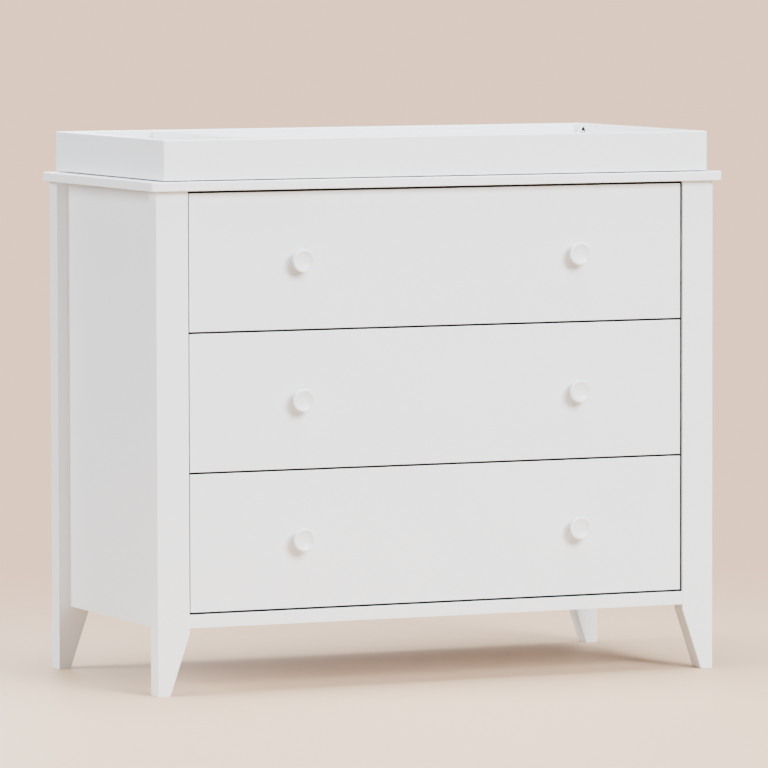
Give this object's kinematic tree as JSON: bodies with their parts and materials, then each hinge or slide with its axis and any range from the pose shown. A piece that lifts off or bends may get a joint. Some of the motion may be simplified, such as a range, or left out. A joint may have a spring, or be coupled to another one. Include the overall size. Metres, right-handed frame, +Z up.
{
  "type": "changing dresser",
  "caption": "Changing dresser on tapered board legs, with wide knobbed drawers on roller runners, recessed side panels and a divided changing tray that lifts off the top.",
  "frame": {"origin": "on the floor, in the middle of the overall width and depth", "axes": "+Z up, the drawers face -Y, +X to the right for someone facing the drawers' front"},
  "size_m": [1.05, 0.5116, 0.923],
  "materials": {
    "white_paint": "satin white paint on smooth board",
    "white_board": "white foil on thin hardboard",
    "drawer_wood": "clear lacquer on pale birch-faced board",
    "runner_epoxy": "white epoxy coat on pressed steel",
    "nylon": "moulded nylon",
    "zinc": "zinc plate",
    "felt": "pressed felt"
  },
  "bodies": {
    "case": {"top_panel": "white_paint", "leg_front_left": "white_paint", "leg_front_right": "white_paint", "leg_rear_left": "white_paint", "leg_rear_right": "white_paint", "side_panel_left": "white_paint", "side_panel_right": "white_paint", "back_panel": "white_board", "bottom_rail_front": "white_paint", "bottom_rail_rear": "white_paint", "lower_stretcher": "white_paint", "upper_stretcher": "white_paint", "top_rail_front": "white_paint", "top_rail_rear": "white_paint", "runner_cleats": "white_paint", "case_runners": "runner_epoxy"},
    "lower_drawer": {"lower_drawer_front": "white_paint", "lower_drawer_side_left": "drawer_wood", "lower_drawer_side_right": "drawer_wood", "lower_drawer_back": "drawer_wood", "lower_drawer_base": "white_board", "lower_drawer_knobs": "white_paint", "lower_drawer_runners": "runner_epoxy"},
    "lower_drawer_roller_pair": {"lower_drawer_rollers": "nylon"},
    "lower_case_roller_pair": {"lower_case_rollers": "nylon"},
    "middle_drawer": {"middle_drawer_front": "white_paint", "middle_drawer_side_left": "drawer_wood", "middle_drawer_side_right": "drawer_wood", "middle_drawer_back": "drawer_wood", "middle_drawer_base": "white_board", "middle_drawer_knobs": "white_paint", "middle_drawer_runners": "runner_epoxy"},
    "middle_drawer_roller_pair": {"middle_drawer_rollers": "nylon"},
    "middle_case_roller_pair": {"middle_case_rollers": "nylon"},
    "upper_drawer": {"upper_drawer_front": "white_paint", "upper_drawer_side_left": "drawer_wood", "upper_drawer_side_right": "drawer_wood", "upper_drawer_back": "drawer_wood", "upper_drawer_base": "white_board", "upper_drawer_knobs": "white_paint", "upper_drawer_runners": "runner_epoxy"},
    "upper_drawer_roller_pair": {"upper_drawer_rollers": "nylon"},
    "upper_case_roller_pair": {"upper_case_rollers": "nylon"},
    "tray": {"tray_front_board": "white_paint", "tray_rear_board": "white_paint", "tray_end_left": "white_paint", "tray_end_right": "white_paint", "tray_divider": "white_paint", "tray_base": "white_board", "tray_pads": "felt", "tray_brackets": "runner_epoxy", "tray_cam_locks": "zinc"}
  },
  "joints": [
    {"name": "lower_drawer_slide", "type": "slide", "parent": "case", "child": "lower_drawer", "axis": [0, -1, 0], "range_m": [0, 0.3]},
    {"name": "lower_case_roller_spin", "type": "hinge", "parent": "case", "child": "lower_case_roller_pair", "pos_m": [0, -0.20025, 0.1625], "axis": [1, 0, 0], "range_deg": [0, 1719.4]},
    {"name": "lower_drawer_roller_spin", "type": "hinge", "parent": "lower_drawer", "child": "lower_drawer_roller_pair", "pos_m": [0, 0.17325, 0.1625], "axis": [1, 0, 0], "range_deg": [0, 1719.4]},
    {"name": "middle_drawer_slide", "type": "slide", "parent": "case", "child": "middle_drawer", "axis": [0, -1, 0], "range_m": [0, 0.3]},
    {"name": "middle_case_roller_spin", "type": "hinge", "parent": "case", "child": "middle_case_roller_pair", "pos_m": [0, -0.20025, 0.39567], "axis": [1, 0, 0], "range_deg": [0, 1719.4]},
    {"name": "middle_drawer_roller_spin", "type": "hinge", "parent": "middle_drawer", "child": "middle_drawer_roller_pair", "pos_m": [0, 0.17325, 0.39567], "axis": [1, 0, 0], "range_deg": [0, 1719.4]},
    {"name": "upper_drawer_slide", "type": "slide", "parent": "case", "child": "upper_drawer", "axis": [0, -1, 0], "range_m": [0, 0.3]},
    {"name": "upper_case_roller_spin", "type": "hinge", "parent": "case", "child": "upper_case_roller_pair", "pos_m": [0, -0.20025, 0.62883], "axis": [1, 0, 0], "range_deg": [0, 1719.4]},
    {"name": "upper_drawer_roller_spin", "type": "hinge", "parent": "upper_drawer", "child": "upper_drawer_roller_pair", "pos_m": [0, 0.17325, 0.62883], "axis": [1, 0, 0], "range_deg": [0, 1719.4]},
    {"name": "tray_lift", "type": "slide", "parent": "case", "child": "tray", "axis": [0, 0, 1], "range_m": [0, 0.12]}
  ],
  "couplings": [
    {"joint": "lower_case_roller_spin", "follows": "lower_drawer_slide", "rad_per_m": 100},
    {"joint": "lower_drawer_roller_spin", "follows": "lower_drawer_slide", "rad_per_m": 100},
    {"joint": "middle_case_roller_spin", "follows": "middle_drawer_slide", "rad_per_m": 100},
    {"joint": "middle_drawer_roller_spin", "follows": "middle_drawer_slide", "rad_per_m": 100},
    {"joint": "upper_case_roller_spin", "follows": "upper_drawer_slide", "rad_per_m": 100},
    {"joint": "upper_drawer_roller_spin", "follows": "upper_drawer_slide", "rad_per_m": 100}
  ]
}
